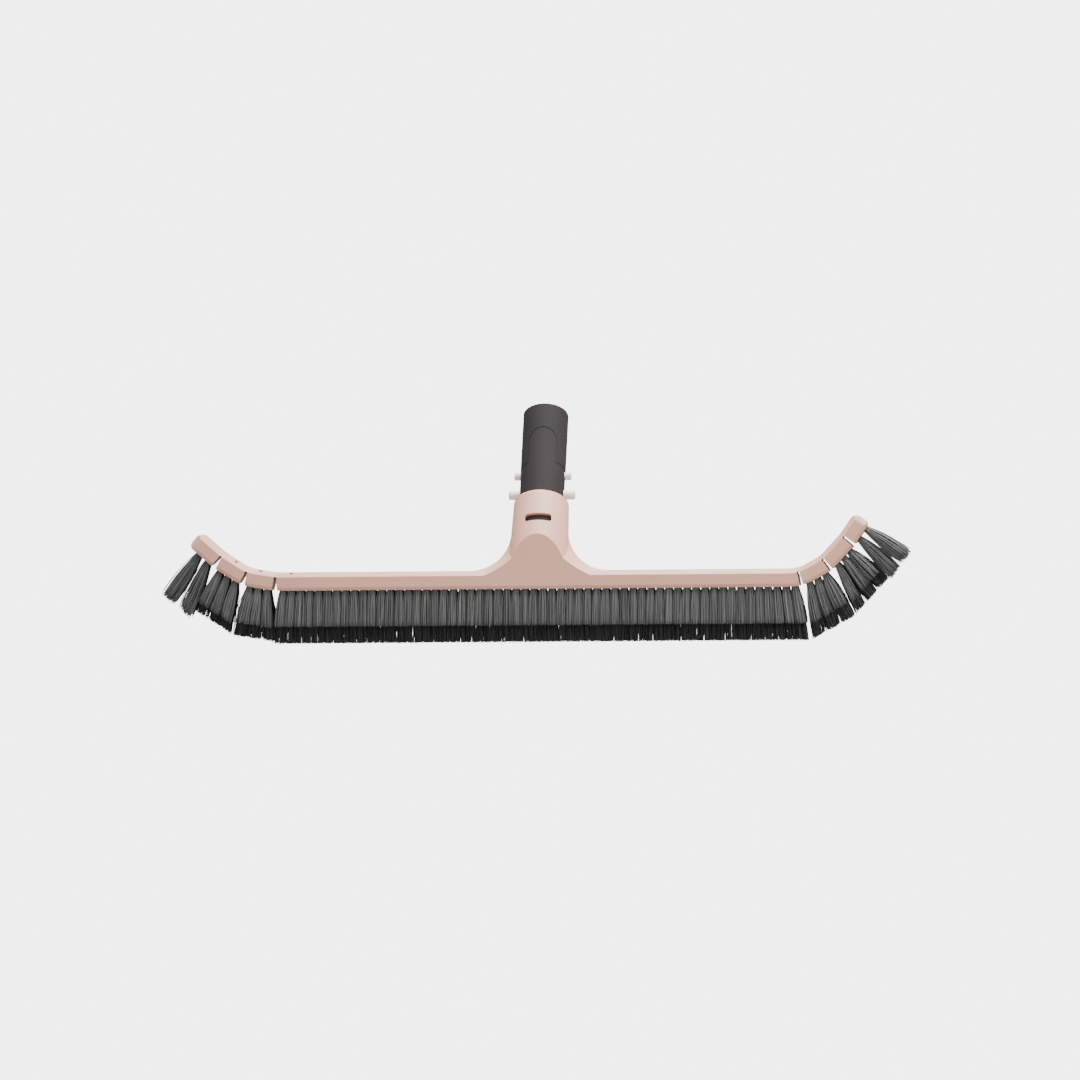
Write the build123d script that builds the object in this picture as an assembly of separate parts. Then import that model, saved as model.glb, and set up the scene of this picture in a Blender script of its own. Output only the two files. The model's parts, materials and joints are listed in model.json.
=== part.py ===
from build123d import *
import math
import os

# Pool wall brush: a moulded rail with three flexing segments at each end, rows of anchored nylon tufts,
# a leaning collar and a snap-in pole adapter with two pairs of sprung pins.
#
# The shapes are drawn in the rail's own frame, in millimetres: X runs along the rail, Y to the back and
# Z up, with Z = 0 on the underside where the tufts come out. At the end every piece is moved so that the
# origin is the centre of the collar's mouth, on the pole's axis.

# ---- Rail -----------------------------------------------------------------------------------------
rail_depth = 22.0
rail_height = 12.4
top_bevel_height = 3.2
top_bevel_depth = 3.0
lower_bevel = 2.2
section_rounding = 0.7
bend_radius = 40.0          # of the underside, where the rail bends at a slot
end_corner_radius = 4.5     # rounded tip of each arm, seen from the front and from above

# ---- Tufts ----------------------------------------------------------------------------------------
tuft_pitch = 6.13
tufts_per_half = 29         # on the straight rail, each side of the middle
tufts_per_segment = 3
row_spacing = 6.6
slot_to_tuft = 5.35         # from the middle of a slot to the next tuft
hole_radius = 2.1
hole_depth = 7.6
root_clearance = 0.06       # between a tuft and the wall of its hole
grey_tip_radius = 2.75
black_tip_radius = 2.7
segment_tip_radius = 3.9    # tufts on the arms have room to spread
segment_fan = 7.5           # degrees, the tufts beside a slot lean towards it
grey_length = 24.0
grey_splay = 11.0           # degrees, the outer rows lean away from the middle row
black_length = 35.5
black_length_inner = 33.5
black_length_middle = 31.0
end_tufts = 2
end_tuft_pitch = 8.0
end_tuft_length = 35.0
end_tuft_splay = 5.0
end_tip_radius = 3.8
end_fan = 4.0
end_margin = {"left": 9.0, "right": 4.6}     # from the last tuft to the arm's tip
# Degrees that each segment's tufts lean outward along the arm; below zero they hang towards the rail's middle.
tuft_lean = {"left": (-2.6, -11.0, -10.0), "right": (-8.0, -8.0, 1.0)}
anchor_thickness = 0.35
anchor_height = 1.6
anchor_clearance = 0.04
fold_height = 0.8           # bristle folded over the anchor

# ---- Arms: the bend at each slot (degrees) and the slot's width at the underside --------------------
arm_bends = {"left": (9.4, 23.8, 8.0), "right": (28.8, 18.6, 8.0)}
slot_mouth = {"left": 4.0, "right": 2.5}
arm_side = {"left": -1, "right": 1}
slot_neck = 1.5             # slot width just under its round end
slot_end_radius = 1.1
slot_end_height = 8.3       # of the round end's centre above the underside
web_width = 1.7             # of the thin flexing web left above each slot
drain_radius = 1.3
drain_depth = 2.6

# ---- Collar and gusset ----------------------------------------------------------------------------
collar_tilt = 34.0          # degrees from upright, towards the back
mouth_height = 57.5         # of the collar's mouth above the underside
mouth_setback = 26.4        # of the collar's mouth behind the middle of the rail
mouth_radius = 18.8
collar_draft = 1.7          # degrees
collar_reach = 82.0
mouth_rounding = 1.8
gusset_foot = 36.5          # half width of the gusset's front face at the rail
gusset_shoulder = 6.0       # half width of the gusset's front face near its top
gusset_shoulder_height = 33.5
gusset_waist = (19.8, 19.0)  # half width and height of the middle of its hollow flank
gusset_apex_height = 37.0
flank_radius = 26.0         # hollow sweep from the collar's side down to the rail
flank_base_height = 6.0
seam_overlap = 0.01         # keeps the gusset's back and the rail's top from only touching
rear_peak_rise = 1.0        # of the gusset's back above the start of the collar's side

# ---- Latch window ---------------------------------------------------------------------------------
window_width = 18.0
window_height = 6.0
window_distance = 23.0      # from the collar's mouth to the middle of the window
window_corner = 1.6

# ---- Pole adapter ---------------------------------------------------------------------------------
spigot_radius = 15.5
spigot_length = 73.0
adapter_wall = 2.5
plug_radius = 14.9
plug_length = 31.0
plug_clearance = 0.12
socket_floor_gap = 1.0
spigot_edge = 0.8
panel_width = 19.5
panel_start = 15.5
panel_length = 38.0
relief_depth = 0.25         # of the panel and of the thinner stretch around the pins that it opens into
relief_margin = 1.15        # of that stretch beyond the upper pins
catch_width = 16.0
catch_height = 4.4
catch_rise = 2.4

# ---- Sprung pins ----------------------------------------------------------------------------------
lower_pin_radius = 3.25
lower_pin_distance = 7.2    # from the collar's mouth to the pin's axis
lower_pin_reach = 7.2       # outside the spigot
upper_pin_radius = 2.75
upper_pin_distance = 22.6
upper_pin_reach = 4.0
pin_clearance = 0.12
pin_edge = 0.8
flange_margin = 1.2
flange_thickness = 1.4
flange_clearance = 0.15
spring_thickness = 0.8
spring_width = 7.0
spring_reach = 24.0         # from a pin's axis to the bend of its spring
spring_touch_gap = 0.02

cutter_margin = 1.0         # how far a cutter runs past the surface it opens

# ---- Worked out from the sizes above ----------------------------------------------------------------
slot_1_x = (tufts_per_half - 0.5) * tuft_pitch + slot_to_tuft
segment_run = (tufts_per_segment - 1) * tuft_pitch + 2 * slot_to_tuft
end_run = {side: slot_to_tuft + (end_tufts - 1) * end_tuft_pitch + end_margin[side] for side in end_margin}
relief_length = upper_pin_distance + upper_pin_radius + relief_margin
rows = {"front": -row_spacing, "middle": 0.0, "rear": row_spacing}
segment_names = ("inner", "middle", "end")
tilt = math.radians(collar_tilt)
mouth = Vector(0, mouth_setback, mouth_height)
pole_axis = Vector(0, math.sin(tilt), math.cos(tilt))
forward = Vector(0, -math.cos(tilt), math.sin(tilt))
to_mouth_frame = Location((0, -mouth_setback, -mouth_height))


def on_pole_axis(distance):
    """Point on the pole's axis at a distance beyond the collar's mouth."""
    return mouth + pole_axis * distance


def across_pole(distance):
    """Plane square to the pole's axis, facing along it."""
    return Plane(origin=on_pole_axis(distance), x_dir=(1, 0, 0), z_dir=pole_axis)


def facing_front(distance):
    """Plane through the pole's axis whose local Y runs along the axis and whose normal faces forward."""
    return Plane(origin=on_pole_axis(distance), x_dir=(1, 0, 0), z_dir=forward)


# ---- Arm layout -----------------------------------------------------------------------------------
def arm_corners(side):
    """Corners of an arm's underside: the three slots and the tip, with the heading of each run."""
    x = slot_1_x
    z = 0.0
    heading = 0.0
    corners = [(x, z)]
    headings = []
    for bend, run in zip(arm_bends[side], (segment_run, segment_run, end_run[side])):
        heading += bend
        x += run * math.cos(math.radians(heading))
        z += run * math.sin(math.radians(heading))
        corners.append((x, z))
        headings.append(heading)
    return corners, headings


def arm_plane(side, corner, heading):
    """Plane at an arm's corner: local X runs outward along the arm, local Y up out of the rail's top."""
    sign = arm_side[side]
    angle = math.radians(heading)
    origin = (sign * corner[0], 0, corner[1])
    outward = (sign * math.cos(angle), 0, math.sin(angle))
    front_or_back = (0, -sign, 0)
    return Plane(origin=origin, x_dir=outward, z_dir=front_or_back)


def slot_plane(side, index):
    """Plane in the middle of a slot, on the bisector of the bend, with its origin on the underside."""
    corners, headings = arm_corners(side)
    bend = arm_bends[side][index]
    middle = arm_plane(side, corners[index], headings[index] - bend / 2)
    lift = bend_radius * (1 / math.cos(math.radians(bend / 2)) - 1)
    return middle.offset(0).shift_origin(middle.from_local_coords(Vector(0, lift, 0)))


def hinge_centre(side, index):
    """Centre of a slot's round end, which the segment beyond it turns about."""
    return slot_plane(side, index).from_local_coords(Vector(0, slot_end_height, 0))


# ---- Rail -----------------------------------------------------------------------------------------
def rail_section(plane):
    half = rail_depth / 2
    outline = Polyline(
        (-half + lower_bevel, 0),
        (half - lower_bevel, 0),
        (half, lower_bevel),
        (half, rail_height - top_bevel_height),
        (half - top_bevel_depth, rail_height),
        (-half + top_bevel_depth, rail_height),
        (-half, rail_height - top_bevel_height),
        (-half, lower_bevel),
        close=True,
    )
    face = make_face(outline)
    return plane * fillet(face.vertices(), section_rounding)


def rail_path():
    """Underside of the rail from the left tip to the right one, with every bend rounded."""
    points = []
    for side in ("left", "right"):
        corners, _ = arm_corners(side)
        line = [(arm_side[side] * x, 0, z) for x, z in corners]
        points += line[::-1] if side == "left" else line
    return FilletPolyline(*points, radius=bend_radius)


def tip_rounding(side):
    """Cutters that round an arm's tip, seen from the front and from above."""
    corners, headings = arm_corners(side)
    tip = arm_plane(side, corners[-1], headings[-1])
    radius = end_corner_radius
    corner = Rectangle(2 * radius, 2 * radius, align=(Align.MIN, Align.MIN))
    corner -= Circle(radius)
    cutters = []
    for height, flip in ((rail_height - radius, 1), (radius, -1)):
        profile = Plane(
            origin=tip.from_local_coords(Vector(-radius, height, 0)),
            x_dir=tip.x_dir,
            z_dir=tip.z_dir * flip,
        )
        cutters.append(extrude(profile * corner, amount=rail_depth, both=True))
    for offset, flip in ((rail_depth / 2 - radius, 1), (radius - rail_depth / 2, -1)):
        profile = Plane(
            origin=tip.from_local_coords(Vector(-radius, 0, offset)),
            x_dir=tip.x_dir,
            z_dir=-tip.y_dir * flip,
        )
        cutters.append(extrude(profile * corner, amount=2 * rail_height, both=True))
    return cutters


def slot_gap(side, index):
    """Everything that parts two segments: the slot, its round end and the room of the web above."""
    plane = slot_plane(side, index)
    below = rail_height
    taper = (slot_mouth[side] - slot_neck) / 2 / slot_end_height
    wide = slot_mouth[side] / 2 + taper * below
    slot = make_face(Polyline(
        (-wide, -below), (wide, -below), (slot_neck / 2, slot_end_height),
        (-slot_neck / 2, slot_end_height), close=True))
    slot += Pos(0, slot_end_height) * Circle(slot_end_radius)
    slot += Pos(0, slot_end_height + rail_height / 2) * Rectangle(web_width, rail_height)
    return extrude(plane * slot, amount=rail_depth, both=True)


def web_room(side, index):
    """Room of the thin web above a slot's round end."""
    plane = slot_plane(side, index)
    room = Pos(0, slot_end_height + rail_height / 2) * Rectangle(web_width, rail_height)
    room -= Pos(0, slot_end_height) * Circle(slot_end_radius)
    return extrude(plane * room, amount=rail_depth, both=True)


def drain_holes(side):
    """Shallow drain holes in the top bevel, midway between slots: front on the left, back on the right."""
    corners, headings = arm_corners(side)
    places = [(corners[0], 0.0, -segment_run / 2)]
    places += [(corners[i], headings[i], segment_run / 2) for i in range(2)]
    holes = []
    for corner, heading, along in places:
        plane = arm_plane(side, corner, heading)
        across = (rail_depth / 2 - top_bevel_depth) * plane.z_dir.Y * arm_side[side]
        start = Vector(along, rail_height - drain_depth, across)
        hole = Plane(origin=plane.from_local_coords(start), x_dir=plane.x_dir, z_dir=plane.y_dir)
        holes.append(extrude(hole * Circle(drain_radius), amount=rail_height))
    return holes


# ---- Collar ---------------------------------------------------------------------------------------
def collar_blank():
    base_radius = mouth_radius + collar_reach * math.tan(math.radians(collar_draft))
    cone = Cone(base_radius, mouth_radius, collar_reach, align=(Align.CENTER, Align.CENTER, Align.MAX))
    cone = across_pole(0) * cone
    rim = cone.edges().filter_by(GeomType.CIRCLE).sort_by(lambda edge: edge.center().Z)[-1]
    cone = fillet(rim, mouth_rounding)
    keep = Box(4 * mouth_radius, 2 * collar_reach, 2 * collar_reach, align=(Align.CENTER, Align.MIN, Align.MIN))
    return cone & Pos(0, -rail_depth / 2, lower_bevel) * keep


def gusset_profile(foot, waist, shoulder, apex_height, base_height):
    """Mountain-shaped outline: hollow flanks and a rounded peak, drawn as half width against height."""
    left = ThreePointArc((-shoulder[0], shoulder[1]), (-waist[0], waist[1]), (-foot[0], foot[1]))
    right = ThreePointArc((foot[0], foot[1]), waist, shoulder)
    peak = ThreePointArc(shoulder, (0, apex_height), (-shoulder[0], shoulder[1]))
    base = Polyline((-foot[0], foot[1]), (-foot[0], base_height), (foot[0], base_height), (foot[0], foot[1]))
    return make_face([left, right, peak, base])


def gusset():
    """Hollow-sided gusset between the rail and the collar."""
    bevel_foot = rail_height - top_bevel_height
    front = gusset_profile(
        (gusset_foot, bevel_foot), gusset_waist, (gusset_shoulder, gusset_shoulder_height),
        gusset_apex_height, flank_base_height)
    front_plane = Plane(origin=(0, -rail_depth / 2, 0), x_dir=(1, 0, 0), z_dir=(0, -1, 0))
    collar_side = mouth_radius + mouth_height * math.tan(math.radians(collar_draft)) / 2
    lean = 1 / math.cos(tilt)
    diagonal = flank_radius * (1 - math.sqrt(0.5))
    middle = gusset_profile(
        (collar_side + flank_radius, rail_height * lean),
        (collar_side + diagonal, (rail_height + diagonal) * lean),
        (collar_side, (rail_height + flank_radius) * lean),
        (rail_height + flank_radius + collar_side / 2) * lean,
        flank_base_height * lean)
    ground = mouth - pole_axis * (mouth_height * lean)
    middle_plane = Plane(origin=ground, x_dir=(1, 0, 0), z_dir=forward)
    solid = loft([front_plane * front, middle_plane * middle], ruled=True)
    rear_outline = gusset_profile(
        (collar_side + flank_radius, rail_height - seam_overlap),
        (collar_side + diagonal, rail_height + diagonal),
        (collar_side, rail_height + flank_radius),
        rail_height + flank_radius + rear_peak_rise, flank_base_height)
    rear_plane = Plane(origin=(0, rail_depth / 2, 0), x_dir=(1, 0, 0), z_dir=(0, -1, 0))
    rear = extrude(rear_plane * rear_outline, amount=rail_depth)
    behind = Plane(origin=ground, x_dir=(1, 0, 0), z_dir=-forward)
    rear &= extrude(behind * Rectangle(8 * mouth_radius, 8 * mouth_height), amount=4 * mouth_radius)
    return solid + rear


def socket_cut():
    depth = plug_length + socket_floor_gap
    bore = Cylinder(
        plug_radius + plug_clearance, depth + cutter_margin, align=(Align.CENTER, Align.CENTER, Align.MIN))
    return across_pole(-depth) * bore


def window_cut():
    outline = RectangleRounded(window_width, window_height, window_corner)
    return extrude(facing_front(-window_distance) * outline, amount=2 * mouth_radius)


# ---- Tufts ----------------------------------------------------------------------------------------
def tuft_blank(length, splay, tip_radius, fan=0.0):
    """One tuft hanging below the origin, with its root in the hole above; it leans across and along."""
    root_radius = hole_radius - root_clearance
    across = length * math.tan(math.radians(splay))
    along = length * math.tan(math.radians(fan))
    sections = [
        Plane.XY.offset(hole_depth) * Circle(root_radius),
        Plane.XY * Circle(root_radius),
        Plane(origin=(along, across, -length), z_dir=(0, 0, 1)) * Circle(tip_radius),
    ]
    return loft(sections, ruled=True) - anchor_blank(anchor_clearance, 2 * hole_radius)


def anchor_blank(clearance, length):
    """Flat wire anchor across the tuft's fold."""
    centre = hole_depth - fold_height - anchor_height / 2
    return Pos(0, 0, centre) * Box(
        anchor_thickness + 2 * clearance, length, anchor_height + 2 * clearance)


def hole_blank():
    return Pos(0, 0, -rail_height) * Cylinder(
        hole_radius, hole_depth + rail_height, align=(Align.CENTER, Align.CENTER, Align.MIN))


def upright(side, corner, heading, along, across):
    """Location of a tuft: Z out of the rail's top, Y to the back, at a distance along a run."""
    sign = arm_side[side]
    plane = arm_plane(side, corner, heading)
    origin = plane.from_local_coords(Vector(along, 0, 0)) + Vector(0, across, 0)
    return Plane(origin=origin, x_dir=plane.x_dir * sign, z_dir=plane.y_dir).location


def straight_places(row):
    half = [(i + 0.5) * tuft_pitch for i in range(tufts_per_half)]
    return [Location((x, rows[row], 0)) for x in [-x for x in half[::-1]] + half]


def segment_places(side, index, row):
    corners, headings = arm_corners(side)
    if segment_names[index] == "end":
        count, pitch = end_tufts, end_tuft_pitch
    else:
        count, pitch = tufts_per_segment, tuft_pitch
    return [
        upright(side, corners[index], headings[index], slot_to_tuft + i * pitch, rows[row])
        for i in range(count)
    ]


def splay_of(row, angle):
    """Outer rows lean away from the middle one."""
    return {"front": -angle, "middle": 0.0, "rear": angle}[row]


def copies(blank, places):
    return Compound([place * blank for place in places])


def fanned_copies(length, splay, tip_radius, fan, lean, places, sign):
    """Tufts of one row of a segment, which fan out evenly from the row's middle and lean as a group."""
    last = len(places) - 1
    angles = [sign * (lean + fan * (2 * i / last - 1)) for i in range(len(places))]
    return Compound([
        place * tuft_blank(length, splay, tip_radius, angle) for place, angle in zip(places, angles)
    ])


# ---- Pole adapter and its sprung pins ---------------------------------------------------------------
def pin_sizes(level):
    if level == "lower":
        return lower_pin_radius, lower_pin_distance, lower_pin_reach
    return upper_pin_radius, upper_pin_distance, upper_pin_reach


def flange_seat(radius):
    """How far out a pin's flange can sit before it meets the spigot's round inner wall."""
    inner = spigot_radius - adapter_wall
    return math.sqrt(inner ** 2 - (radius + flange_margin) ** 2) - flange_clearance


def pole_adapter():
    upward = (Align.CENTER, Align.CENTER, Align.MIN)
    spigot = Cylinder(spigot_radius, spigot_length, align=upward)
    top = spigot.edges().filter_by(GeomType.CIRCLE).sort_by(Axis.Z)[-1]
    spigot = fillet(top, spigot_edge)
    spigot += Pos(0, 0, -plug_length) * Cylinder(plug_radius, plug_length, align=upward)
    body = across_pole(0) * spigot
    body += catch_block()
    inner = spigot_radius - adapter_wall
    start = -plug_length - cutter_margin
    hollow = across_pole(start) * Cylinder(inner, spigot_length + cutter_margin - start, align=upward)
    body -= hollow
    body -= relief()
    for level in ("lower", "upper"):
        radius, distance, _ = pin_sizes(level)
        body -= across_pole(distance) * (Rot(0, 90, 0) * Cylinder(radius + pin_clearance, 4 * spigot_radius))
    return body


def relief():
    """Shallow arched panel in the front of the spigot, and the thinner stretch around the pins."""
    arch = panel_width / 2
    straight = panel_length - arch
    outline = Pos(0, straight / 2) * Rectangle(panel_width, straight)
    outline += Pos(0, straight) * Circle(arch)
    outline -= Pos(0, -arch) * Rectangle(2 * panel_width, panel_width)
    block = extrude(facing_front(panel_start) * outline, amount=2 * spigot_radius)
    block += across_pole(0) * Cylinder(
        2 * spigot_radius, relief_length, align=(Align.CENTER, Align.CENTER, Align.MIN))
    core = Cylinder(spigot_radius - relief_depth, 4 * spigot_length)
    return block - across_pole(0) * core


def catch_block():
    """Catch on the plug that snaps into the collar's window."""
    top = plug_radius + catch_rise
    block = extrude(facing_front(-window_distance) * Rectangle(catch_width, catch_height), amount=top)
    return block & across_pole(-plug_length) * Cylinder(
        top, plug_length, align=(Align.CENTER, Align.CENTER, Align.MIN))


def sprung_pin(level, sign):
    radius, distance, reach = pin_sizes(level)
    seat = flange_seat(radius)
    outward = (Align.CENTER, Align.CENTER, Align.MIN)
    length = spigot_radius + reach - seat
    pin = Cylinder(radius, length, align=outward)
    tip = pin.edges().filter_by(GeomType.CIRCLE).sort_by(Axis.Z)[-1]
    pin = fillet(tip, pin_edge)
    flange = Cylinder(radius + flange_margin, flange_thickness, align=(Align.CENTER, Align.CENTER, Align.MAX))
    return across_pole(distance) * (Rot(0, 90 * sign, 0) * (Pos(0, 0, seat) * (pin + flange)))


def clip_spring(level):
    """V-shaped leaf spring that pushes a pair of pins outward."""
    radius, distance, _ = pin_sizes(level)
    back = flange_seat(radius) - flange_thickness - spring_touch_gap - spring_thickness / 2
    pad = radius
    bend = spring_reach if level == "upper" else -spring_reach
    way = math.copysign(1, bend)
    points = [(-back, -way * pad), (-back, way * pad), (0, bend), (back, way * pad), (back, -way * pad)]
    strip = trace(Polyline(*points), line_width=spring_thickness)
    return extrude(facing_front(distance) * strip, amount=spring_width / 2, both=True)


# ---- Whole brush ------------------------------------------------------------------------------------
def rail_pieces():
    """Cut the rail into the middle piece, the arm segments and the webs between them."""
    path = rail_path()
    start = Plane(origin=path @ 0, x_dir=(0, 1, 0), z_dir=path % 0)
    rail = sweep(rail_section(start), path=path)
    for side in arm_side:
        for cutter in tip_rounding(side) + drain_holes(side):
            rail -= cutter
    pieces = {}
    rest = rail
    for side in arm_side:
        for index in range(3):
            pieces[f"{side}_web_{index + 1}"] = rail & web_room(side, index)
            rest -= slot_gap(side, index)
    solids = rest.solids().sort_by(Axis.X)
    names = [f"left_{name}_segment" for name in segment_names[::-1]]
    names += ["brush_head"]
    names += [f"right_{name}_segment" for name in segment_names]
    pieces.update(zip(names, solids))
    return pieces


def brush_head(middle_rail):
    head = middle_rail + gusset() + collar_blank()
    head -= socket_cut()
    head -= window_cut()
    return head


def drill(piece, places):
    hole = hole_blank()
    return piece - [place * hole for place in places]


def build():
    pieces = rail_pieces()
    pieces["brush_head"] = brush_head(pieces["brush_head"])
    head_places = []
    for row in rows:
        places = straight_places(row)
        black = row == "middle"
        length = black_length if black else grey_length
        tip = black_tip_radius if black else grey_tip_radius
        pieces[f"{row}_row_tufts"] = copies(tuft_blank(length, splay_of(row, grey_splay), tip), places)
        head_places += places
    anchor = anchor_blank(0, 2 * (hole_radius - root_clearance))
    pieces["head_anchors"] = copies(anchor, head_places)
    pieces["brush_head"] = drill(pieces["brush_head"], head_places)
    segment_black = {"inner": black_length_inner, "middle": black_length_middle}
    for side in arm_side:
        for index, name in enumerate(segment_names):
            places = []
            for row in rows:
                if name == "end" and row == "middle":
                    continue
                row_places = segment_places(side, index, row)
                if name == "end":
                    sizes = (end_tuft_length, splay_of(row, end_tuft_splay), end_tip_radius, end_fan)
                elif row == "middle":
                    sizes = (segment_black[name], 0, segment_tip_radius, segment_fan)
                else:
                    sizes = (grey_length, splay_of(row, grey_splay), segment_tip_radius, segment_fan)
                pieces[f"{side}_{name}_{row}_tufts"] = fanned_copies(
                    *sizes, tuft_lean[side][index], row_places, arm_side[side])
                places += row_places
            segment = f"{side}_{name}_segment"
            pieces[segment] = drill(pieces[segment], places)
            pieces[f"{side}_{name}_anchors"] = copies(anchor, places)
    pieces["pole_adapter"] = pole_adapter()
    for level in ("lower", "upper"):
        pieces[f"{level}_clip_spring"] = clip_spring(level)
        for side, sign in arm_side.items():
            pieces[f"{side}_{level}_pin"] = sprung_pin(level, sign)
    return pieces


def main():
    os.makedirs("parts", exist_ok=True)
    for name, piece in build().items():
        export_step(to_mouth_frame * piece, f"parts/{name}.step")
    for side in arm_side:
        for index in range(3):
            centre = hinge_centre(side, index) - mouth
            print(f"{side} hinge {index + 1}: x {centre.X:.4f}  y {centre.Y:.4f}  z {centre.Z:.4f}")
    tips = -black_length - mouth_height
    land = relief_length * pole_axis
    print(f"spigot's land from y {land.Y:.4f} z {land.Z:.4f}, length {spigot_length - spigot_edge - relief_length:.3f}")
    print(f"bristle tips z {tips:.3f}, first middle tuft x {tuft_pitch / 2:.3f} y {-mouth_setback:.3f}")


main()
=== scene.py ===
import json
import logging
import math
import random
from dataclasses import dataclass, replace
from enum import Enum

import bmesh
import bpy
import numpy as np
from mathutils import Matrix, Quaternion, Vector

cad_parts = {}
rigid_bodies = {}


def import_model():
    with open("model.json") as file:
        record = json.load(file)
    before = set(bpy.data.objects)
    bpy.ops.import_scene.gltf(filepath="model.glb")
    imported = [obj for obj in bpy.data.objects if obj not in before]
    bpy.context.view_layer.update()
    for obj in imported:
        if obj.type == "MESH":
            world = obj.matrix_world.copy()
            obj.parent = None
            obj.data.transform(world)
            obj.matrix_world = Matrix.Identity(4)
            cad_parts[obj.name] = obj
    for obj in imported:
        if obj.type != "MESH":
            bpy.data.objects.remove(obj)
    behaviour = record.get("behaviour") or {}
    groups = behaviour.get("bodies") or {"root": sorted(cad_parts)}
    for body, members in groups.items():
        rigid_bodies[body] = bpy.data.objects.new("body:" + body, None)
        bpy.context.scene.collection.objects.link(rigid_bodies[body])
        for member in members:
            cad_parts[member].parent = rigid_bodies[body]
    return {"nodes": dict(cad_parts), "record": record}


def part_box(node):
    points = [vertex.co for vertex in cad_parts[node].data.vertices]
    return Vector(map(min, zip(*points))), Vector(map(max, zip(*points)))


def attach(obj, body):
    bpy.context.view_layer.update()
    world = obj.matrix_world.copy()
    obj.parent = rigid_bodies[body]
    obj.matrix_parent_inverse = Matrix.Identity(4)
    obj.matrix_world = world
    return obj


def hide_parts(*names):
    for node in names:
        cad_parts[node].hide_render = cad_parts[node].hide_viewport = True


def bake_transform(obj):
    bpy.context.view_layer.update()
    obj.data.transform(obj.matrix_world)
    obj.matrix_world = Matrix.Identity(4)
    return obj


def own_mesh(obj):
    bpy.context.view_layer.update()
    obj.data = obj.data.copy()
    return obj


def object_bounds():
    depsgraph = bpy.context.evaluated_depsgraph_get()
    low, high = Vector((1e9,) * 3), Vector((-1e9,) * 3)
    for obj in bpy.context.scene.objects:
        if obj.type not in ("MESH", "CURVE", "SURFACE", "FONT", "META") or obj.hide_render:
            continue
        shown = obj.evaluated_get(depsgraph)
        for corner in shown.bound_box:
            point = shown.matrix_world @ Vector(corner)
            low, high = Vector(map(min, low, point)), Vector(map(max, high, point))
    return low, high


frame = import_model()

cad_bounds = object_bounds()

MM = 0.001
JOIN_GAP = 0.002 * MM        # corners closer than this are one corner
GOLDEN_ANGLE = 2.399963      # in radians, sets strands evenly over a round tuft
Place = tuple[float, float, float]
logging.basicConfig(level=logging.INFO, format="%(message)s")
log = logging.getLogger("pool_brush")


class Row(Enum):
    """Which row of holes a tuft stands in."""

    FRONT = "front"
    MIDDLE = "middle"
    REAR = "rear"


def linear(hex_colour: str) -> tuple[float, float, float, float]:
    """Turn an sRGB hex colour into the linear colour that a shader takes.

    Args:
        hex_colour: six hex digits, with or without a leading hash.

    Returns:
        Linear red, green, blue and an alpha of one.
    """
    digits = hex_colour.lstrip("#")
    channels = [int(digits[i:i + 2], 16) / 255 for i in (0, 2, 4)]
    curve = [c / 12.92 if c <= 0.04045 else ((c + 0.055) / 1.055) ** 2.4 for c in channels]
    return (curve[0], curve[1], curve[2], 1.0)


def add_node(tree: bpy.types.NodeTree, kind: str, settings: dict | None = None,
             links: dict | None = None) -> bpy.types.Node:
    """Add one node with its settings and the links into it.

    Args:
        tree: the node tree that the node goes into.
        kind: Blender's name for the type of node.
        settings: values by property name, or by input name or number; "stops" are a colour ramp's
            places from 0 to 1, each with its sRGB hex colour.
        links: output sockets by the input name or number that they feed.

    Returns:
        The new node.
    """
    node = tree.nodes.new(kind)
    for name, value in (settings or {}).items():
        if name == "stops":
            while len(node.color_ramp.elements) < len(value):
                node.color_ramp.elements.new(0.5)
            for element, (place, colour) in zip(node.color_ramp.elements, value):
                element.position = place
                element.color = linear(colour)
        elif isinstance(name, str) and hasattr(node, name):
            setattr(node, name, value)
        else:
            node.inputs[name].default_value = value
    for name, socket in (links or {}).items():
        tree.links.new(socket, node.inputs[name])
    return node


def blank_material(name: str, shader: dict) -> tuple[bpy.types.Material, bpy.types.NodeTree, bpy.types.Node]:
    """Material with a single principled shader.

    Args:
        name: the material's name.
        shader: values set on the shader's own sockets.

    Returns:
        The material, its node tree and its shader.
    """
    material = bpy.data.materials.new(name)
    material.use_nodes = True
    tree = material.node_tree
    tree.nodes.clear()
    output = add_node(tree, "ShaderNodeOutputMaterial")
    bsdf = add_node(tree, "ShaderNodeBsdfPrincipled", shader)
    tree.links.new(bsdf.outputs["BSDF"], output.inputs["Surface"])
    return material, tree, bsdf


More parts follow.
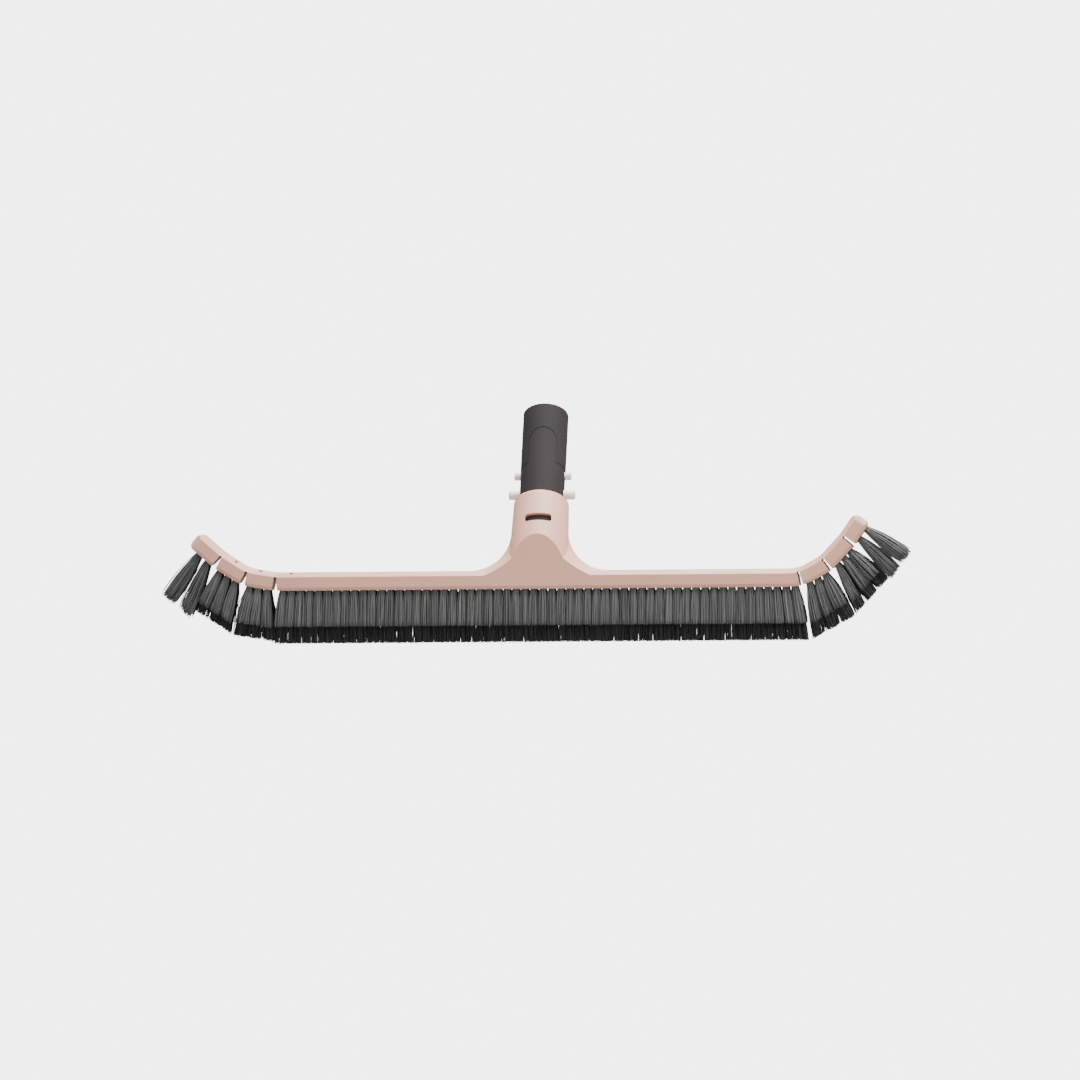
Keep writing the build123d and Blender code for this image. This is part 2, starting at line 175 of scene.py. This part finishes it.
@dataclass(frozen=True)
class MouldedPlastic:
    """Injection-moulded plastic with a fine spark-eroded grain, which gives a soft, even satin sheen.

    The real grain is about a tenth of a millimetre, too fine to show, so it is drawn coarser.
    """

    name: str
    colour: str
    darker: str
    lighter: str
    roughness: float
    grain_mm: float = 0.45
    grain_depth_mm: float = 0.05
    grain_strength: float = 0.25
    flow_mm: float = 38.0
    roughness_swing: float = 0.06
    ior: float = 1.49
    shine: float = 0.5

    def make(self) -> bpy.types.Material:
        """Build the material: broad colour drift from the flow, and a fine grain in roughness and bump.

        Returns:
            The finished material.
        """
        material, tree, bsdf = blank_material(
            self.name, {"IOR": self.ior, "Metallic": 0.0, "Specular IOR Level": self.shine})
        place = add_node(tree, "ShaderNodeTexCoord").outputs["Object"]
        drift = add_node(tree, "ShaderNodeTexNoise", {"Scale": 1 / (self.flow_mm * MM), "Detail": 3.0},
                         {"Vector": place})
        colour = add_node(tree, "ShaderNodeValToRGB",
                          {"stops": [(0.25, self.darker), (0.5, self.colour), (0.78, self.lighter)]},
                          {"Fac": drift.outputs["Fac"]})
        tree.links.new(colour.outputs["Color"], bsdf.inputs["Base Color"])
        grain = add_node(tree, "ShaderNodeTexNoise", {"Scale": 1 / (self.grain_mm * MM), "Detail": 2.0},
                         {"Vector": place})
        rough = add_node(tree, "ShaderNodeMapRange",
                         {"To Min": self.roughness - self.roughness_swing,
                          "To Max": self.roughness + self.roughness_swing},
                         {"Value": grain.outputs["Fac"]})
        tree.links.new(rough.outputs["Result"], bsdf.inputs["Roughness"])
        bump = add_node(tree, "ShaderNodeBump",
                        {"Strength": self.grain_strength, "Distance": self.grain_depth_mm * MM},
                        {"Height": grain.outputs["Fac"]})
        tree.links.new(bump.outputs["Normal"], bsdf.inputs["Normal"])
        return material


@dataclass(frozen=True)
class DrawnNylon:
    """Melt-spun nylon filament: a smooth drawn skin with a soft streak of shine, each strand its shade."""

    name: str
    root: str
    pale: str
    dark: str
    tip: str
    roughness: float = 0.42
    ior: float = 1.53
    root_shadow_end: float = 0.3
    tip_shadow_start: float = 0.9

    def make(self) -> bpy.types.Material:
        """Build the material from two attributes of the strands: their own shade and the way to the tip.

        Returns:
            The finished material.
        """
        material, tree, bsdf = blank_material(self.name, {"IOR": self.ior, "Roughness": self.roughness})
        strand = add_node(tree, "ShaderNodeAttribute", {"attribute_name": "strand"}).outputs["Fac"]
        along = add_node(tree, "ShaderNodeAttribute", {"attribute_name": "along"}).outputs["Fac"]
        shade = add_node(tree, "ShaderNodeValToRGB", {"stops": [(0.0, self.dark), (1.0, self.pale)]},
                         {"Fac": strand}).outputs["Color"]
        # Painted shade: the strand is darker at its root, in and just below the hole, and darker at its cut
        # tips.
        reach = add_node(tree, "ShaderNodeValToRGB",
                         {"stops": [(0.0, self.root), (self.root_shadow_end, "#FFFFFF"),
                                    (self.tip_shadow_start, "#FFFFFF"), (1.0, self.tip)]},
                         {"Fac": along}).outputs["Color"]
        mixed = add_node(tree, "ShaderNodeMix",
                         {"data_type": "RGBA", "blend_type": "MULTIPLY", 0: 1.0}, {6: shade, 7: reach})
        tree.links.new(mixed.outputs[2], bsdf.inputs["Base Color"])
        return material


@dataclass(frozen=True)
class RolledMetal:
    """Cold-rolled or drawn metal: bright, with fine streaks along the way it was drawn."""

    name: str
    colour: str
    worn: str
    roughness: float
    streak_mm: float = 0.3
    streak_stretch: float = 0.08
    roughness_swing: float = 0.08

    def make(self) -> bpy.types.Material:
        """Build the material: streaked colour and roughness on a metal shader.

        Returns:
            The finished material.
        """
        material, tree, bsdf = blank_material(self.name, {"Metallic": 1.0})
        place = add_node(tree, "ShaderNodeTexCoord").outputs["Object"]
        stretched = add_node(tree, "ShaderNodeMapping", {"Scale": (1.0, 1.0, self.streak_stretch)},
                             {"Vector": place})
        streak = add_node(tree, "ShaderNodeTexNoise", {"Scale": 1 / (self.streak_mm * MM), "Detail": 4.0},
                          {"Vector": stretched.outputs["Vector"]})
        colour = add_node(tree, "ShaderNodeValToRGB", {"stops": [(0.3, self.worn), (0.7, self.colour)]},
                          {"Fac": streak.outputs["Fac"]})
        tree.links.new(colour.outputs["Color"], bsdf.inputs["Base Color"])
        rough = add_node(tree, "ShaderNodeMapRange",
                         {"To Min": self.roughness - self.roughness_swing,
                          "To Max": self.roughness + self.roughness_swing},
                         {"Value": streak.outputs["Fac"]})
        tree.links.new(rough.outputs["Result"], bsdf.inputs["Roughness"])
        return material


def body_of(node: str) -> str:
    """Name of the body that a CAD node belongs to."""
    bodies = frame["record"]["behaviour"]["bodies"]
    return next(body for body, nodes in bodies.items() if node in nodes)


def slot_of(node: str) -> str:
    """Material slot that the record gives a CAD node."""
    return next(part["material_slot"] for part in frame["record"]["subparts"] if part["node"] == node)


def dress(obj: bpy.types.Object, material: bpy.types.Material) -> None:
    """Give an object one material.

    Args:
        obj: a new piece or a CAD node's object.
        material: its finish.
    """
    if obj.material_slots:
        for place in obj.material_slots:
            place.material = material
    else:
        obj.data.materials.append(material)


def cad_object(node: str) -> bpy.types.Object:
    """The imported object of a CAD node."""
    found = frame["nodes"][node]
    return found if isinstance(found, bpy.types.Object) else bpy.data.objects[found]


def only(obj: bpy.types.Object) -> None:
    """Deselect everything, then select one object and make it the active one.

    Args:
        obj: the object that the next operators work on.
    """
    bpy.ops.object.select_all(action="DESELECT")
    obj.select_set(True)
    bpy.context.view_layer.objects.active = obj


def merged_copy(node: str, name: str) -> bpy.types.Object:
    """Copy of a CAD node's mesh with its loose triangles joined up.

    Args:
        node: the CAD node.
        name: the name of the new piece.

    Returns:
        The new object, at the origin.
    """
    source = cad_object(node)
    mesh = source.data.copy()
    mesh.name = name
    piece = bpy.data.objects.new(name, mesh)
    bpy.context.scene.collection.objects.link(piece)
    only(piece)
    bpy.ops.object.mode_set(mode="EDIT")
    bpy.ops.mesh.select_all(action="SELECT")
    bpy.ops.mesh.remove_doubles(threshold=JOIN_GAP)
    bpy.ops.object.mode_set(mode="OBJECT")
    return piece


@dataclass
class TuftSeat:
    """Where one tuft stands: its hole's mouth, the way into the hole and the middle of its tips."""

    mouth: np.ndarray
    inward: np.ndarray
    tip: np.ndarray
    tip_radius: float


def tuft_seats(node: str) -> list[TuftSeat]:
    """Read where the tufts stand from the separate solids of a CAD node.

    Args:
        node: a CAD node that holds one row of tufts.

    Returns:
        One seat for each tuft, in order along the rail.
    """
    bm = bmesh.new()
    bm.from_mesh(cad_object(node).data)
    bmesh.ops.remove_doubles(bm, verts=bm.verts, dist=JOIN_GAP)
    seats = []
    waiting = set(bm.verts)
    while waiting:
        island = {waiting.pop()}
        front = list(island)
        while front:
            vert = front.pop()
            for edge in vert.link_edges:
                other = edge.other_vert(vert)
                if other not in island:
                    island.add(other)
                    waiting.discard(other)
                    front.append(other)
        # Sorted, because a set hands over its corners in another order on each run.
        seats.append(seat_from_points(np.array(sorted(tuple(vert.co) for vert in island))))
    bm.free()
    return sorted(seats, key=lambda seat: seat.mouth[0])


def ring_centre(points: np.ndarray, way: np.ndarray, low: float, high: float) -> tuple[np.ndarray, float]:
    """Centre and radius of the part of a tuft that lies between two depths.

    Args:
        points: the corners of one tuft's solid.
        way: the tuft's axis, from root to tips.
        low: the nearer depth, from the deepest corner of the root.
        high: the farther depth.

    Returns:
        The centre and the largest half width.
    """
    first = np.cross(way, (0.0, 1.0, 0.0))
    first /= np.linalg.norm(first)
    sides = np.array([first, np.cross(first, way)])
    depth = points @ way
    depth = depth - depth.min()
    near = points[(depth >= low) & (depth <= high)]
    spread = near @ sides.T
    along = near @ way
    middle = (spread.min(axis=0) + spread.max(axis=0)) / 2
    half = (spread.max(axis=0) - spread.min(axis=0)).max() / 2
    return middle @ sides + way * (along.min() + along.max()) / 2, float(half)


def seat_from_points(points: np.ndarray, hole_depth: float = 7.5 * MM,
                     band: float = 0.9 * MM) -> TuftSeat:
    """Find the three rings of a plain tuft: its root, the hole's mouth and the tips.

    Args:
        points: the corners of one tuft's solid.
        hole_depth: how deep the root stands in its hole.
        band: how far from each ring its corners may lie.

    Returns:
        The tuft's seat.
    """
    low = points[np.argmin(points[:, 2])]
    high = points[np.argmax(np.linalg.norm(points - low, axis=1))]
    way = (low - high) / np.linalg.norm(low - high)
    for _ in range(2):
        depth = points @ way
        length = depth.max() - depth.min()
        mouth, _ = ring_centre(points, way, hole_depth - band, hole_depth + band)
        tip, _ = ring_centre(points, way, length - band, length)
        way = (tip - mouth) / np.linalg.norm(tip - mouth)
    depth = points @ way
    length = depth.max() - depth.min()
    root, _ = ring_centre(points, way, 0, 2 * band)
    mouth, _ = ring_centre(points, way, hole_depth - band, hole_depth + band)
    tip, radius = ring_centre(points, way, length - band, length)
    inward = root - mouth
    return TuftSeat(mouth, inward / np.linalg.norm(inward), tip, radius)


@dataclass
class Strand:
    """One nylon filament, modelled once as a straight, slightly tapered rod with a rounded cut end."""

    radius: float = 0.26 * MM
    sides: int = 5
    cuts: int = 6
    crowding: float = 1.4        # draws the cuts towards the root, where the strand bends most
    tip_start: float = 0.99
    tip_pinch: float = 0.7

    def build(self) -> tuple[np.ndarray, np.ndarray]:
        """Model the filament from a cylinder of unit length, cut across and pinched at its tip.

        Returns:
            Its corners, with Z from 0 at the root to 1 at the tip, and its faces as rows of four corners.
        """
        bpy.ops.object.select_all(action="DESELECT")
        bpy.ops.mesh.primitive_cylinder_add(vertices=self.sides, radius=self.radius, depth=1.0,
                                            end_fill_type="NOTHING", location=(0, 0, 0.5))
        rod = bpy.context.object
        bpy.ops.object.transform_apply(location=True)
        bpy.ops.object.mode_set(mode="EDIT")
        for cut in range(1, self.cuts + 1):
            bpy.ops.mesh.select_all(action="SELECT")
            height = (cut / (self.cuts + 1)) ** self.crowding
            bpy.ops.mesh.bisect(plane_co=(0, 0, height), plane_no=(0, 0, 1))
        bpy.ops.object.mode_set(mode="OBJECT")
        corners = np.array([v.co for v in rod.data.vertices])
        corners[corners[:, 2] > self.tip_start, :2] *= self.tip_pinch
        faces = np.array([list(face.vertices) for face in rod.data.polygons])
        bpy.data.objects.remove(rod)
        return corners, faces


@dataclass(frozen=True)
class TuftStyle:
    """How the strands of one kind of tuft open out, curl and are cut."""

    strands: int
    spread: float                # of the tips, as a share of the plain tuft's own tip radius
    wander: float                # of each tip about its place
    ragged: float                # how far a strand is cut longer or shorter than the rest
    curl: float
    flare: float = 7.0           # how soon below its hole the tuft has opened out
    edge_lean: tuple[float, float] = (0.0, 0.0)   # outwards, of the row's first and last tuft
    lean_tufts: int = 6          # how many tufts share that lean at each end
    sag: Place = (0.0, 0.0, 0.0)


@dataclass
class TuftRow:
    """One row of tufts of one body: every strand of every tuft."""

    node: str
    finish: bpy.types.Material
    style: TuftStyle
    seed: int
    root_radius: float = 1.95 * MM
    root_depth: float = 2.0 * MM
    root_grip: float = 0.9       # of the mouth's radius, at the root
    held: float = 0.12           # share of a strand that is in the hole
    overhang: float = 0.4 * MM
    turn_jitter: float = 0.25
    tuft_turn: float = 60.0      # turns each tuft by its shade, so that no two are alike
    tuft_shade: float = 0.05
    strand_shade: tuple[float, float] = (0.1, 0.9)
    bow_out: tuple[float, float] = (-0.2, 1.0)
    bow_along: float = 0.35
    bow_arc: float = 0.8         # share of a half wave between mouth and tip
    most_tufts: int = 30         # in one piece, for its count of triangles

    def tuft(self, seat: TuftSeat, corners: np.ndarray, dice: random.Random,
             lean: float) -> tuple[np.ndarray, np.ndarray, np.ndarray]:
        """Place the strands of one tuft.

        Args:
            seat: where the tuft stands.
            corners: the model strand.
            dice: the row's random numbers.
            lean: how far the tuft's tips are shifted along the row.

        Returns:
            The corners of all its strands, and the two attributes of each corner.
        """
        style = self.style
        down = -seat.inward
        across = np.cross(down, (0.0, 1.0, 0.0))
        across /= np.linalg.norm(across)
        depthwise = np.cross(across, down)
        tip = seat.tip + across * lean + np.array(style.sag)
        span = float(np.linalg.norm(tip - seat.mouth))
        placed, shades, ways = [], [], []
        tuft_shade = dice.uniform(-self.tuft_shade, self.tuft_shade)
        t = corners[:, 2:3]
        free = np.clip((t - self.held) / (1 - self.held), 0, 1)
        opened = (1 - np.exp(-style.flare * free)) / (1 - math.exp(-style.flare))
        for index in range(style.strands):
            jitter = dice.uniform(-self.turn_jitter, self.turn_jitter)
            turn = index * GOLDEN_ANGLE + jitter + tuft_shade * self.tuft_turn
            reach = math.sqrt((index + 0.5) / style.strands)
            root_out = self.root_radius * reach
            tip_out = seat.tip_radius * style.spread * reach
            side = across * math.cos(turn) + depthwise * math.sin(turn)
            start = seat.mouth + seat.inward * self.root_depth + side * root_out * self.root_grip
            mouth = seat.mouth + side * root_out
            stray = across * dice.gauss(0, style.wander) + depthwise * dice.gauss(0, style.wander)
            longer = dice.uniform(-style.ragged, style.ragged) + self.overhang
            end = tip + side * tip_out + stray
            end = end + (end - mouth) / span * longer
            bow = (side * dice.uniform(*self.bow_out) + across * dice.gauss(0, self.bow_along)) * style.curl
            core = seat.mouth + (end - side * tip_out - seat.mouth) * free
            outside = root_out + (tip_out - root_out) * opened
            straight = np.where(t < self.held, start + (mouth - start) * (t / self.held),
                                core + side * outside)
            line = straight + bow * np.sin(free * math.pi * self.bow_arc)
            placed.append(line + across * corners[:, 0:1] + depthwise * corners[:, 1:2])
            shade = min(1.0, max(0.0, dice.uniform(*self.strand_shade) + tuft_shade))
            shades.append(np.full(len(corners), shade))
            ways.append(corners[:, 2])
        return np.concatenate(placed), np.concatenate(shades), np.concatenate(ways)

    def leans(self, count: int) -> list[float]:
        """How far each tuft of the row leans: most at the row's two ends, not at all in its middle.

        Args:
            count: how many tufts the row has.

        Returns:
            The shift of each tuft's tips along the row.
        """
        first, last = self.style.edge_lean
        near_first = [max(0.0, 1 - place / self.style.lean_tufts) ** 2 for place in range(count)]
        near_last = near_first[::-1]
        return [last * b - first * a for a, b in zip(near_first, near_last)]

    def piece(self, name: str, seats: list[tuple[TuftSeat, float]], corners: np.ndarray,
              faces: np.ndarray, dice: random.Random) -> bpy.types.Object:
        """Build some neighbouring tufts as one mesh.

        Args:
            name: the new piece's name.
            seats: where its tufts stand, each with its lean along the row.
            corners: the model strand's corners.
            faces: the model strand's faces.
            dice: the row's random numbers.

        Returns:
            The finished piece.
        """
        points, shades, ways = [], [], []
        for seat, lean in seats:
            tuft_points, tuft_shades, tuft_ways = self.tuft(seat, corners, dice, lean)
            points.append(tuft_points)
            shades.append(tuft_shades)
            ways.append(tuft_ways)
        count = len(seats) * self.style.strands
        steps = np.repeat(np.arange(count) * len(corners), len(faces))
        quads = np.tile(faces, (count, 1)) + steps[:, None]
        mesh = bpy.data.meshes.new(name)
        mesh.from_pydata(np.concatenate(points).tolist(), [], quads.tolist())
        for label, values in (("strand", shades), ("along", ways)):
            layer = mesh.attributes.new(label, "FLOAT", "POINT")
            layer.data.foreach_set("value", np.concatenate(values).astype(np.float32))
        mesh.polygons.foreach_set("use_smooth", [True] * len(mesh.polygons))
        mesh.update()
        piece = bpy.data.objects.new(name, mesh)
        bpy.context.scene.collection.objects.link(piece)
        dress(piece, self.finish)
        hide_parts(self.node)
        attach(piece, body_of(self.node))
        log.info("%s: %d tufts, %d triangles", name, len(seats), 2 * len(quads))
        return piece

    def build(self, corners: np.ndarray, faces: np.ndarray) -> list[bpy.types.Object]:
        """Build the whole row in place of its plain CAD solids, a long row in two halves.

        Args:
            corners: the model strand's corners.
            faces: the model strand's faces.

        Returns:
            The finished pieces.
        """
        dice = random.Random(self.seed)
        seats = tuft_seats(self.node)
        seats = list(zip(seats, self.leans(len(seats))))
        halves = {"": seats}
        if len(seats) > self.most_tufts:
            middle = len(seats) // 2
            halves = {"_left": seats[:middle], "_right": seats[middle:]}
        return [self.piece(f"{self.node}_bristles{side}", half, corners, faces, dice)
                for side, half in halves.items()]


@dataclass
class Bristles:
    """All the rows of tufts of the brush."""

    grey: bpy.types.Material
    black: bpy.types.Material
    rail_grey: TuftStyle = TuftStyle(strands=72, spread=1.16, wander=0.35 * MM, ragged=0.5 * MM,
                                     curl=0.6 * MM, edge_lean=(2.0 * MM, 4.5 * MM))
    rail_black: TuftStyle = TuftStyle(strands=80, spread=1.3, wander=0.9 * MM, ragged=0.6 * MM,
                                      curl=1.0 * MM, edge_lean=(2.4 * MM, 5.0 * MM))
    arm_grey: TuftStyle = TuftStyle(strands=110, spread=1.02, wander=0.7 * MM, ragged=0.9 * MM,
                                    curl=1.0 * MM, flare=3.5, lean_tufts=1)
    arm_black: TuftStyle = TuftStyle(strands=150, spread=1.2, wander=1.0 * MM, ragged=0.9 * MM,
                                     curl=1.0 * MM, flare=3.5, lean_tufts=1)
    arm_end: TuftStyle = TuftStyle(strands=120, spread=1.1, wander=0.9 * MM, ragged=1.6 * MM,
                                   curl=1.6 * MM, flare=2.5)
    left_pinch: float = -1.5 * MM     # draws the two outer tufts of an arm's segment together
    right_pinch: float = -0.7 * MM
    right_end_sag: Place = (-4.5 * MM, 0.0, -1.0 * MM)

    def style(self, node: str, row: Row) -> TuftStyle:
        """Pick the style of one row of tufts.

        Args:
            node: the row's CAD node.
            row: which row of holes it stands in.

        Returns:
            The style of its tufts.
        """
        if "_row_" in node:
            return self.rail_black if row is Row.MIDDLE else self.rail_grey
        if "_end_" in node:
            sag = self.right_end_sag if node.startswith("right") else self.arm_end.sag
            return replace(self.arm_end, sag=sag)
        pinch = self.left_pinch if node.startswith("left") else self.right_pinch
        plain = self.arm_black if row is Row.MIDDLE else self.arm_grey
        return replace(plain, edge_lean=(pinch, pinch))

    def build(self) -> None:
        """Model the strand once, then fill every row with it."""
        corners, faces = Strand().build()
        for seed, node in enumerate(sorted(n for n in frame["nodes"] if n.endswith("tufts")), start=1):
            row = next(r for r in Row if f"{r.value}_tufts" in node or node == f"{r.value}_row_tufts")
            finish = self.black if row is Row.MIDDLE else self.grey
            TuftRow(node, finish, self.style(node, row), seed).build(corners, faces)


@dataclass
class Rail:
    """The tan moulding: the middle piece with its collar, the arm segments and the flexing webs."""

    finish: bpy.types.Material
    web_cuts: int = 6
    web_half: float = 0.85 * MM       # from the hinge to where the web meets each segment

    def build(self) -> None:
        """Dress the moulded CAD pieces and make each web a skin, cut across about its hinge."""
        for node in frame["nodes"]:
            if node == "brush_head" or node.endswith("_segment"):
                dress(cad_object(node), self.finish)
                log.info("%s: moulded finish", node)
        for joint in frame["record"]["behaviour"]["joints"]:
            for entry in joint.get("deforming_nodes", []):
                if "_web_" in entry["node"]:
                    self.web(entry["node"], joint)

    def web(self, node: str, joint: dict) -> bpy.types.Object:
        """Skin of one web, cut across in slices about its hinge between the two bodies.

        Args:
            node: the web's CAD node.
            joint: the hinge it bends with.

        Returns:
            The finished piece.
        """
        piece = merged_copy(node, f"{node}_skin")
        low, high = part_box(node)
        middle = (Vector(low) + Vector(high)) / 2
        pivot = Vector(joint["pos_m"])
        up = (middle - pivot).normalized()
        side = -1.0 if node.startswith("left") else 1.0
        out = Vector((up.z, 0, -up.x)).normalized()
        if out.x * side < 0:
            out = -out
        bpy.ops.object.mode_set(mode="EDIT")
        for cut in range(1, self.web_cuts):
            bpy.ops.mesh.select_all(action="SELECT")
            place = pivot + out * self.web_half * (2 * cut / self.web_cuts - 1)
            bpy.ops.mesh.bisect(plane_co=place, plane_no=out)
        bpy.ops.object.mode_set(mode="OBJECT")
        dress(piece, self.finish)
        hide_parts(node)
        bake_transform(piece)
        log.info("%s: bends from %s to %s", piece.name, joint["parent"], joint["child"])
        return piece


@dataclass
class PoleEnd:
    """The snap-in adapter with its sprung pins, and the metal parts inside."""

    adapter: bpy.types.Material
    pins: bpy.types.Material
    spring: bpy.types.Material
    anchor: bpy.types.Material

    def build(self) -> None:
        """Dress every CAD piece of the pole end, and the anchors in the tuft holes."""
        finishes = {
            "adapter_plastic": self.adapter,
            "pin_plastic": self.pins,
            "spring_steel": self.spring,
            "anchor_wire": self.anchor,
        }
        for node in frame["nodes"]:
            finish = finishes.get(slot_of(node))
            if node.endswith("_clip_spring"):
                self.clip(node)
            elif finish:
                dress(cad_object(node), finish)
                log.info("%s: %s", node, finish.name)

    def clip(self, node: str) -> bpy.types.Object:
        """Leaf spring, whose legs come together as its pins are pressed, copied with a mesh of its own onto
        its body.

        Args:
            node: the spring's CAD node.

        Returns:
            The finished piece.
        """
        piece = merged_copy(node, f"{node}_leaf")
        dress(piece, self.spring)
        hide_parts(node)
        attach(piece, body_of(node))
        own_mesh(piece)
        return piece


@dataclass(frozen=True)
class SoftBox:
    """A square soft box: where it stands, the point it faces, its side and its power in watts."""

    name: str
    place: Place
    aim: Place
    size: float
    power: float

    def build(self) -> None:
        """Hang the lamp at its place."""
        data = bpy.data.lights.new(self.name, "AREA")
        data.size = self.size
        data.energy = self.power
        lamp = bpy.data.objects.new(self.name, data)
        lamp.location = self.place
        lamp.rotation_mode = "QUATERNION"
        lamp.rotation_quaternion = (Vector(self.place) - Vector(self.aim)).to_track_quat("Z", "Y")
        bpy.context.scene.collection.objects.link(lamp)


@dataclass
class Studio:
    """Plain pale floor, soft studio light and the camera."""

    azimuth: float = 5.1
    elevation: float = 0.4
    roll: float = 0.5
    field_width: float = 0.7363
    distance: float = 8.0
    sensor_width_mm: float = 36.0
    far_clip: float = 100.0
    look_at: Place = (-0.0004, -0.01, -0.0245)
    floor_drop: float = 0.9
    floor_size: float = 4.0
    floor_roughness: float = 0.9
    lower_height: float = -0.7        # of the surroundings, where they are dimmest
    upper_height: float = 0.8
    lower_light: float = 0.16
    upper_light: float = 1.3
    backdrop_light: float = 5.0
    soft_boxes: tuple[SoftBox, ...] = (
        SoftBox("top_soft_box", (0.25, 0.0, 1.4), (0, 0, 0), 0.9, 78.0),
        SoftBox("right_soft_box", (0.85, -0.75, 0.35), (0.15, 0, 0), 0.5, 7.0),
    )

    def camera(self) -> None:
        """Long-lens camera from the front, a little to the right of the brush and a little above it."""
        az = math.radians(self.azimuth)
        el = math.radians(self.elevation)
        back = Vector((math.sin(az) * math.cos(el), -math.cos(az) * math.cos(el), math.sin(el)))
        data = bpy.data.cameras.new("camera")
        data.sensor_width = self.sensor_width_mm
        data.lens = self.sensor_width_mm * self.distance / self.field_width
        data.clip_end = self.far_clip
        camera = bpy.data.objects.new("camera", data)
        camera.location = Vector(self.look_at) + back * self.distance
        camera.rotation_mode = "QUATERNION"
        roll = Quaternion(Vector((0, 0, 1)), math.radians(-self.roll))
        camera.rotation_quaternion = back.to_track_quat("Z", "Y") @ roll
        bpy.context.scene.collection.objects.link(camera)
        bpy.context.scene.camera = camera

    def world(self) -> None:
        """White surroundings that light the brush more from above than from below."""
        world = bpy.data.worlds.new("studio")
        bpy.context.scene.world = world
        world.use_nodes = True
        tree = world.node_tree
        tree.nodes.clear()
        white = (1, 1, 1, 1)
        place = add_node(tree, "ShaderNodeTexCoord").outputs["Generated"]
        height = add_node(tree, "ShaderNodeSeparateXYZ", links={"Vector": place}).outputs["Z"]
        level = add_node(tree, "ShaderNodeMapRange",
                         {"From Min": self.lower_height, "From Max": self.upper_height,
                          "To Min": self.lower_light, "To Max": self.upper_light},
                         {"Value": height})
        sky = add_node(tree, "ShaderNodeBackground", {"Color": white},
                       {"Strength": level.outputs["Result"]})
        backdrop = add_node(tree, "ShaderNodeBackground",
                            {"Color": white, "Strength": self.backdrop_light})
        seen = add_node(tree, "ShaderNodeLightPath").outputs["Is Camera Ray"]
        mix = add_node(tree, "ShaderNodeMixShader",
                       links={0: seen, 1: sky.outputs[0], 2: backdrop.outputs[0]})
        add_node(tree, "ShaderNodeOutputWorld", links={"Surface": mix.outputs[0]})

    def floor(self) -> None:
        """Pale matt floor, well below the brush."""
        low = cad_bounds[0][2] - self.floor_drop
        bpy.ops.object.select_all(action="DESELECT")
        bpy.ops.mesh.primitive_plane_add(size=self.floor_size, location=(0, 0, low))
        floor = bpy.context.object
        floor.name = "floor"
        material, tree, bsdf = blank_material("matt_painted_floor", {"Roughness": self.floor_roughness})
        place = add_node(tree, "ShaderNodeTexCoord").outputs["Object"]
        mottle = add_node(tree, "ShaderNodeTexNoise", {"Scale": 6.0, "Detail": 3.0}, {"Vector": place})
        colour = add_node(tree, "ShaderNodeValToRGB", {"stops": [(0.3, "#ECEBE9"), (0.7, "#F2F1EF")]},
                          {"Fac": mottle.outputs["Fac"]})
        tree.links.new(colour.outputs["Color"], bsdf.inputs["Base Color"])
        dress(floor, material)

    def build(self) -> None:
        """Set up the camera, the light and the floor."""
        self.camera()
        self.world()
        for soft_box in self.soft_boxes:
            soft_box.build()
        self.floor()
        log.info("studio: camera, %d soft boxes, white surroundings and floor", len(self.soft_boxes))


def main() -> None:
    """Build the looks of the whole brush, one sub-assembly after another."""
    Studio().build()
    # Moulded polypropylene: an even, satin pinkish tan with a faint drift of colour where it flowed.
    tan = MouldedPlastic("satin_polypropylene_tan", "#CD9A85", "#C99580", "#D19F8B", 0.5).make()
    # Moulded nylon, finely grained: nearly black and dull, with little shine.
    dark = MouldedPlastic("satin_nylon_dark_grey", "#252021", "#211D1E", "#292425", 0.8,
                          grain_mm=0.35, shine=0.2).make()
    # Moulded acetal: smooth off-white with a clear highlight.
    white = MouldedPlastic("smooth_acetal_white", "#E6E3DF", "#DFDCD7", "#ECE9E6", 0.3,
                           grain_mm=0.3).make()
    # Cold-rolled spring steel: bright grey with fine rolling streaks.
    steel = RolledMetal("cold_rolled_spring_steel", "#B8B8B4", "#8E8E8A", 0.3).make()
    # Drawn brass wire: warm yellow with fine drawing streaks.
    brass = RolledMetal("drawn_brass_wire", "#C9A86A", "#A98B50", 0.35).make()
    # Drawn nylon filament: each strand its own dark grey, with painted shade at its root and at its tips,
    # and a soft streak of shine.
    grey = DrawnNylon("drawn_nylon_grey", root="#9A9A9A", pale="#5E605E", dark="#323433",
                      tip="#B8B8B8").make()
    # The same filament coloured through in black.
    black = DrawnNylon("drawn_nylon_black", root="#9A9A9A", pale="#2B2A2B", dark="#131213",
                       tip="#E0E0E0").make()
    Rail(tan).build()
    PoleEnd(dark, white, steel, brass).build()
    Bristles(grey, black).build()


if __name__ == "__main__":
    main()
